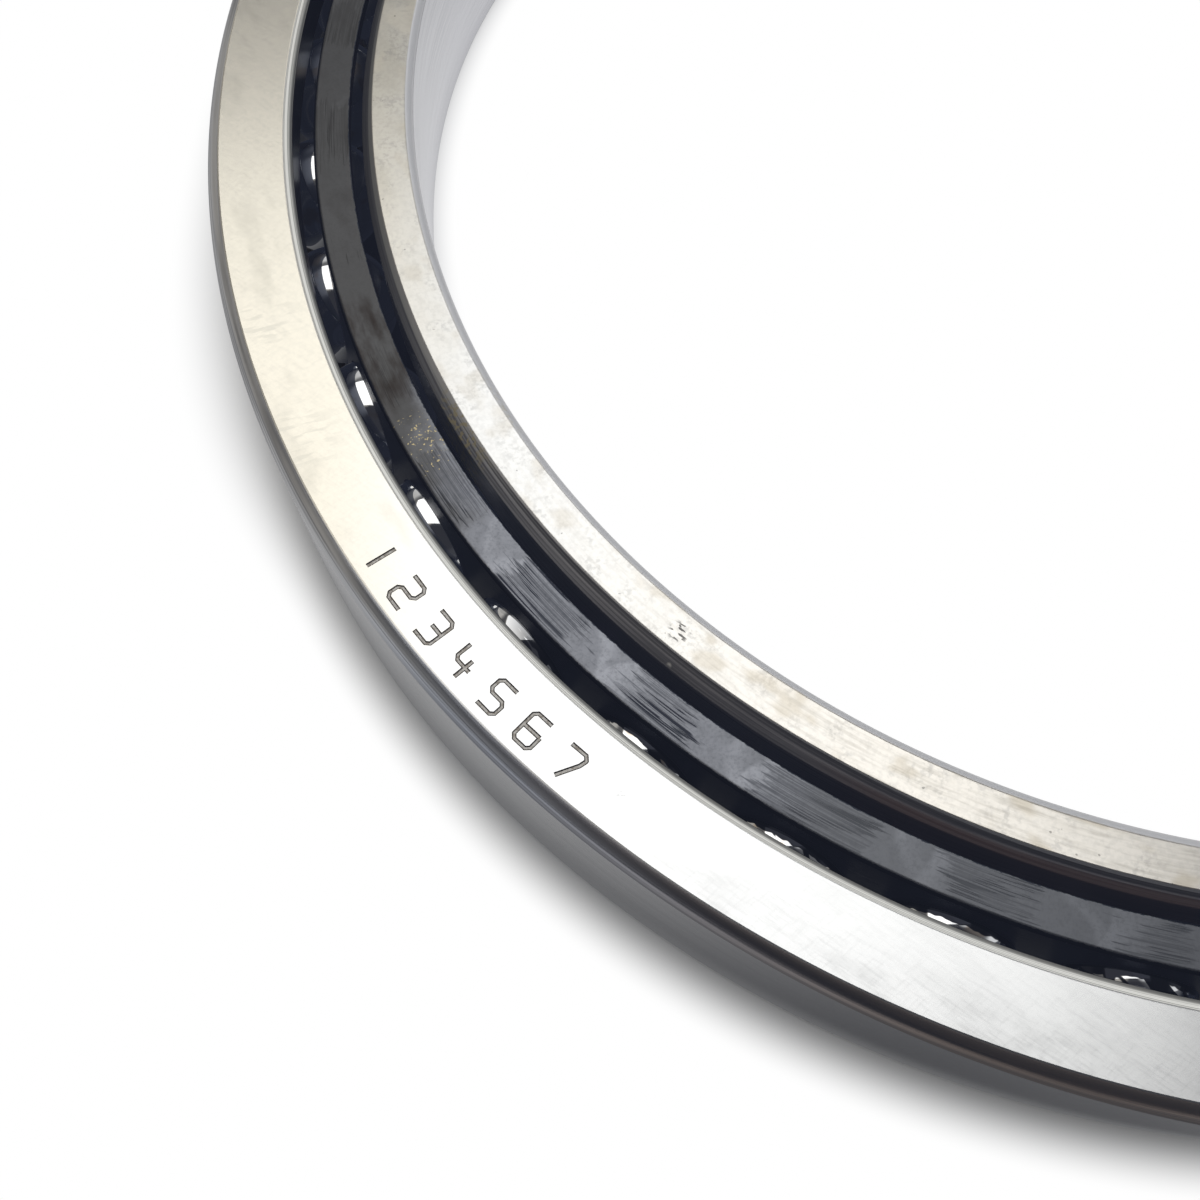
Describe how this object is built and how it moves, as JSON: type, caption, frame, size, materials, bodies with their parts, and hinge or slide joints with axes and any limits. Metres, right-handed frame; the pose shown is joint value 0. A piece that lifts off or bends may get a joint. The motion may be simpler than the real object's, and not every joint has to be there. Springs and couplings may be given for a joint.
{
  "type": "travel motor bearing",
  "caption": "Thin single row angular contact ball bearing with an open pressed cage, for the output hub of a crawler's travel motor.",
  "frame": {"origin": "on the bearing's axis, in the plane of the lower faces of the two rings", "axes": "+Z along the bearing's axis, towards the thick face of the outer ring, which is up in the picture; +X to the right in the picture"},
  "size_m": [0.276, 0.276, 0.026],
  "materials": {
    "outer_ring_steel": "ground faces, oiled",
    "inner_ring_steel": "ground faces, lightly stained",
    "cage_black": "black oxide on pressed steel, satin, oiled",
    "ball_steel": "lapped, mirror bright"
  },
  "bodies": {
    "outer_ring": {"outer_ring": "outer_ring_steel"},
    "inner_ring": {"inner_ring": "inner_ring_steel"},
    "cage": {"cage": "cage_black"},
    "ball_01": {"ball_01": "ball_steel"},
    "ball_02": {"ball_02": "ball_steel"},
    "ball_03": {"ball_03": "ball_steel"},
    "ball_04": {"ball_04": "ball_steel"},
    "ball_05": {"ball_05": "ball_steel"},
    "ball_06": {"ball_06": "ball_steel"},
    "ball_07": {"ball_07": "ball_steel"},
    "ball_08": {"ball_08": "ball_steel"},
    "ball_09": {"ball_09": "ball_steel"},
    "ball_10": {"ball_10": "ball_steel"},
    "ball_11": {"ball_11": "ball_steel"},
    "ball_12": {"ball_12": "ball_steel"},
    "ball_13": {"ball_13": "ball_steel"},
    "ball_14": {"ball_14": "ball_steel"},
    "ball_15": {"ball_15": "ball_steel"},
    "ball_16": {"ball_16": "ball_steel"},
    "ball_17": {"ball_17": "ball_steel"},
    "ball_18": {"ball_18": "ball_steel"},
    "ball_19": {"ball_19": "ball_steel"},
    "ball_20": {"ball_20": "ball_steel"},
    "ball_21": {"ball_21": "ball_steel"},
    "ball_22": {"ball_22": "ball_steel"},
    "ball_23": {"ball_23": "ball_steel"},
    "ball_24": {"ball_24": "ball_steel"},
    "ball_25": {"ball_25": "ball_steel"},
    "ball_26": {"ball_26": "ball_steel"},
    "ball_27": {"ball_27": "ball_steel"},
    "ball_28": {"ball_28": "ball_steel"},
    "ball_29": {"ball_29": "ball_steel"},
    "ball_30": {"ball_30": "ball_steel"},
    "ball_31": {"ball_31": "ball_steel"},
    "ball_32": {"ball_32": "ball_steel"},
    "ball_33": {"ball_33": "ball_steel"},
    "ball_34": {"ball_34": "ball_steel"},
    "ball_35": {"ball_35": "ball_steel"},
    "ball_36": {"ball_36": "ball_steel"},
    "ball_37": {"ball_37": "ball_steel"},
    "ball_38": {"ball_38": "ball_steel"},
    "ball_39": {"ball_39": "ball_steel"},
    "ball_40": {"ball_40": "ball_steel"}
  },
  "joints": [
    {"name": "inner_ring_spin", "type": "hinge", "parent": "outer_ring", "child": "inner_ring", "pos_m": [0, 0, 0.013], "axis": [0, 0, 1], "continuous": true},
    {"name": "cage_spin", "type": "hinge", "parent": "outer_ring", "child": "cage", "pos_m": [0, 0, 0.013], "axis": [0, 0, 1], "continuous": true},
    {"name": "ball_01_spin", "type": "hinge", "parent": "cage", "child": "ball_01", "pos_m": [0.12343, 0.01188, 0.013], "axis": [-0.6398, -0.0616, 0.766], "continuous": true},
    {"name": "ball_02_spin", "type": "hinge", "parent": "cage", "child": "ball_02", "pos_m": [0.12005, 0.03105, 0.013], "axis": [-0.6223, -0.1609, 0.766], "continuous": true},
    {"name": "ball_03_spin", "type": "hinge", "parent": "cage", "child": "ball_03", "pos_m": [0.11372, 0.04944, 0.013], "axis": [-0.5895, -0.2563, 0.766], "continuous": true},
    {"name": "ball_04_spin", "type": "hinge", "parent": "cage", "child": "ball_04", "pos_m": [0.10458, 0.06663, 0.013], "axis": [-0.5421, -0.3454, 0.766], "continuous": true},
    {"name": "ball_05_spin", "type": "hinge", "parent": "cage", "child": "ball_05", "pos_m": [0.09287, 0.08216, 0.013], "axis": [-0.4814, -0.4259, 0.766], "continuous": true},
    {"name": "ball_06_spin", "type": "hinge", "parent": "cage", "child": "ball_06", "pos_m": [0.07887, 0.09568, 0.013], "axis": [-0.4089, -0.496, 0.766], "continuous": true},
    {"name": "ball_07_spin", "type": "hinge", "parent": "cage", "child": "ball_07", "pos_m": [0.06293, 0.10684, 0.013], "axis": [-0.3262, -0.5538, 0.766], "continuous": true},
    {"name": "ball_08_spin", "type": "hinge", "parent": "cage", "child": "ball_08", "pos_m": [0.04545, 0.11537, 0.013], "axis": [-0.2356, -0.5981, 0.766], "continuous": true},
    {"name": "ball_09_spin", "type": "hinge", "parent": "cage", "child": "ball_09", "pos_m": [0.02684, 0.12106, 0.013], "axis": [-0.1391, -0.6276, 0.766], "continuous": true},
    {"name": "ball_10_spin", "type": "hinge", "parent": "cage", "child": "ball_10", "pos_m": [0.00757, 0.12377, 0.013], "axis": [-0.0392, -0.6416, 0.766], "continuous": true},
    {"name": "ball_11_spin", "type": "hinge", "parent": "cage", "child": "ball_11", "pos_m": [-0.01188, 0.12343, 0.013], "axis": [0.0616, -0.6398, 0.766], "continuous": true},
    {"name": "ball_12_spin", "type": "hinge", "parent": "cage", "child": "ball_12", "pos_m": [-0.03105, 0.12005, 0.013], "axis": [0.1609, -0.6223, 0.766], "continuous": true},
    {"name": "ball_13_spin", "type": "hinge", "parent": "cage", "child": "ball_13", "pos_m": [-0.04944, 0.11372, 0.013], "axis": [0.2563, -0.5895, 0.766], "continuous": true},
    {"name": "ball_14_spin", "type": "hinge", "parent": "cage", "child": "ball_14", "pos_m": [-0.06663, 0.10458, 0.013], "axis": [0.3454, -0.5421, 0.766], "continuous": true},
    {"name": "ball_15_spin", "type": "hinge", "parent": "cage", "child": "ball_15", "pos_m": [-0.08216, 0.09287, 0.013], "axis": [0.4259, -0.4814, 0.766], "continuous": true},
    {"name": "ball_16_spin", "type": "hinge", "parent": "cage", "child": "ball_16", "pos_m": [-0.09568, 0.07887, 0.013], "axis": [0.496, -0.4089, 0.766], "continuous": true},
    {"name": "ball_17_spin", "type": "hinge", "parent": "cage", "child": "ball_17", "pos_m": [-0.10684, 0.06293, 0.013], "axis": [0.5538, -0.3262, 0.766], "continuous": true},
    {"name": "ball_18_spin", "type": "hinge", "parent": "cage", "child": "ball_18", "pos_m": [-0.11537, 0.04545, 0.013], "axis": [0.5981, -0.2356, 0.766], "continuous": true},
    {"name": "ball_19_spin", "type": "hinge", "parent": "cage", "child": "ball_19", "pos_m": [-0.12106, 0.02684, 0.013], "axis": [0.6276, -0.1391, 0.766], "continuous": true},
    {"name": "ball_20_spin", "type": "hinge", "parent": "cage", "child": "ball_20", "pos_m": [-0.12377, 0.00757, 0.013], "axis": [0.6416, -0.0392, 0.766], "continuous": true},
    {"name": "ball_21_spin", "type": "hinge", "parent": "cage", "child": "ball_21", "pos_m": [-0.12343, -0.01188, 0.013], "axis": [0.6398, 0.0616, 0.766], "continuous": true},
    {"name": "ball_22_spin", "type": "hinge", "parent": "cage", "child": "ball_22", "pos_m": [-0.12005, -0.03105, 0.013], "axis": [0.6223, 0.1609, 0.766], "continuous": true},
    {"name": "ball_23_spin", "type": "hinge", "parent": "cage", "child": "ball_23", "pos_m": [-0.11372, -0.04944, 0.013], "axis": [0.5895, 0.2563, 0.766], "continuous": true},
    {"name": "ball_24_spin", "type": "hinge", "parent": "cage", "child": "ball_24", "pos_m": [-0.10458, -0.06663, 0.013], "axis": [0.5421, 0.3454, 0.766], "continuous": true},
    {"name": "ball_25_spin", "type": "hinge", "parent": "cage", "child": "ball_25", "pos_m": [-0.09287, -0.08216, 0.013], "axis": [0.4814, 0.4259, 0.766], "continuous": true},
    {"name": "ball_26_spin", "type": "hinge", "parent": "cage", "child": "ball_26", "pos_m": [-0.07887, -0.09568, 0.013], "axis": [0.4089, 0.496, 0.766], "continuous": true},
    {"name": "ball_27_spin", "type": "hinge", "parent": "cage", "child": "ball_27", "pos_m": [-0.06293, -0.10684, 0.013], "axis": [0.3262, 0.5538, 0.766], "continuous": true},
    {"name": "ball_28_spin", "type": "hinge", "parent": "cage", "child": "ball_28", "pos_m": [-0.04545, -0.11537, 0.013], "axis": [0.2356, 0.5981, 0.766], "continuous": true},
    {"name": "ball_29_spin", "type": "hinge", "parent": "cage", "child": "ball_29", "pos_m": [-0.02684, -0.12106, 0.013], "axis": [0.1391, 0.6276, 0.766], "continuous": true},
    {"name": "ball_30_spin", "type": "hinge", "parent": "cage", "child": "ball_30", "pos_m": [-0.00757, -0.12377, 0.013], "axis": [0.0392, 0.6416, 0.766], "continuous": true},
    {"name": "ball_31_spin", "type": "hinge", "parent": "cage", "child": "ball_31", "pos_m": [0.01188, -0.12343, 0.013], "axis": [-0.0616, 0.6398, 0.766], "continuous": true},
    {"name": "ball_32_spin", "type": "hinge", "parent": "cage", "child": "ball_32", "pos_m": [0.03105, -0.12005, 0.013], "axis": [-0.1609, 0.6223, 0.766], "continuous": true},
    {"name": "ball_33_spin", "type": "hinge", "parent": "cage", "child": "ball_33", "pos_m": [0.04944, -0.11372, 0.013], "axis": [-0.2563, 0.5895, 0.766], "continuous": true},
    {"name": "ball_34_spin", "type": "hinge", "parent": "cage", "child": "ball_34", "pos_m": [0.06663, -0.10458, 0.013], "axis": [-0.3454, 0.5421, 0.766], "continuous": true},
    {"name": "ball_35_spin", "type": "hinge", "parent": "cage", "child": "ball_35", "pos_m": [0.08216, -0.09287, 0.013], "axis": [-0.4259, 0.4814, 0.766], "continuous": true},
    {"name": "ball_36_spin", "type": "hinge", "parent": "cage", "child": "ball_36", "pos_m": [0.09568, -0.07887, 0.013], "axis": [-0.496, 0.4089, 0.766], "continuous": true},
    {"name": "ball_37_spin", "type": "hinge", "parent": "cage", "child": "ball_37", "pos_m": [0.10684, -0.06293, 0.013], "axis": [-0.5538, 0.3262, 0.766], "continuous": true},
    {"name": "ball_38_spin", "type": "hinge", "parent": "cage", "child": "ball_38", "pos_m": [0.11537, -0.04545, 0.013], "axis": [-0.5981, 0.2356, 0.766], "continuous": true},
    {"name": "ball_39_spin", "type": "hinge", "parent": "cage", "child": "ball_39", "pos_m": [0.12106, -0.02684, 0.013], "axis": [-0.6276, 0.1391, 0.766], "continuous": true},
    {"name": "ball_40_spin", "type": "hinge", "parent": "cage", "child": "ball_40", "pos_m": [0.12377, -0.00757, 0.013], "axis": [-0.6416, 0.0392, 0.766], "continuous": true}
  ],
  "couplings": [
    {"joint": "cage_spin", "follows": "inner_ring_spin", "ratio": 0.47548},
    {"joint": "ball_01_spin", "follows": "inner_ring_spin", "ratio": -7.7922},
    {"joint": "ball_02_spin", "follows": "inner_ring_spin", "ratio": -7.7922},
    {"joint": "ball_03_spin", "follows": "inner_ring_spin", "ratio": -7.7922},
    {"joint": "ball_04_spin", "follows": "inner_ring_spin", "ratio": -7.7922},
    {"joint": "ball_05_spin", "follows": "inner_ring_spin", "ratio": -7.7922},
    {"joint": "ball_06_spin", "follows": "inner_ring_spin", "ratio": -7.7922},
    {"joint": "ball_07_spin", "follows": "inner_ring_spin", "ratio": -7.7922},
    {"joint": "ball_08_spin", "follows": "inner_ring_spin", "ratio": -7.7922},
    {"joint": "ball_09_spin", "follows": "inner_ring_spin", "ratio": -7.7922},
    {"joint": "ball_10_spin", "follows": "inner_ring_spin", "ratio": -7.7922},
    {"joint": "ball_11_spin", "follows": "inner_ring_spin", "ratio": -7.7922},
    {"joint": "ball_12_spin", "follows": "inner_ring_spin", "ratio": -7.7922},
    {"joint": "ball_13_spin", "follows": "inner_ring_spin", "ratio": -7.7922},
    {"joint": "ball_14_spin", "follows": "inner_ring_spin", "ratio": -7.7922},
    {"joint": "ball_15_spin", "follows": "inner_ring_spin", "ratio": -7.7922},
    {"joint": "ball_16_spin", "follows": "inner_ring_spin", "ratio": -7.7922},
    {"joint": "ball_17_spin", "follows": "inner_ring_spin", "ratio": -7.7922},
    {"joint": "ball_18_spin", "follows": "inner_ring_spin", "ratio": -7.7922},
    {"joint": "ball_19_spin", "follows": "inner_ring_spin", "ratio": -7.7922},
    {"joint": "ball_20_spin", "follows": "inner_ring_spin", "ratio": -7.7922},
    {"joint": "ball_21_spin", "follows": "inner_ring_spin", "ratio": -7.7922},
    {"joint": "ball_22_spin", "follows": "inner_ring_spin", "ratio": -7.7922},
    {"joint": "ball_23_spin", "follows": "inner_ring_spin", "ratio": -7.7922},
    {"joint": "ball_24_spin", "follows": "inner_ring_spin", "ratio": -7.7922},
    {"joint": "ball_25_spin", "follows": "inner_ring_spin", "ratio": -7.7922},
    {"joint": "ball_26_spin", "follows": "inner_ring_spin", "ratio": -7.7922},
    {"joint": "ball_27_spin", "follows": "inner_ring_spin", "ratio": -7.7922},
    {"joint": "ball_28_spin", "follows": "inner_ring_spin", "ratio": -7.7922},
    {"joint": "ball_29_spin", "follows": "inner_ring_spin", "ratio": -7.7922},
    {"joint": "ball_30_spin", "follows": "inner_ring_spin", "ratio": -7.7922},
    {"joint": "ball_31_spin", "follows": "inner_ring_spin", "ratio": -7.7922},
    {"joint": "ball_32_spin", "follows": "inner_ring_spin", "ratio": -7.7922},
    {"joint": "ball_33_spin", "follows": "inner_ring_spin", "ratio": -7.7922},
    {"joint": "ball_34_spin", "follows": "inner_ring_spin", "ratio": -7.7922},
    {"joint": "ball_35_spin", "follows": "inner_ring_spin", "ratio": -7.7922},
    {"joint": "ball_36_spin", "follows": "inner_ring_spin", "ratio": -7.7922},
    {"joint": "ball_37_spin", "follows": "inner_ring_spin", "ratio": -7.7922},
    {"joint": "ball_38_spin", "follows": "inner_ring_spin", "ratio": -7.7922},
    {"joint": "ball_39_spin", "follows": "inner_ring_spin", "ratio": -7.7922},
    {"joint": "ball_40_spin", "follows": "inner_ring_spin", "ratio": -7.7922}
  ]
}
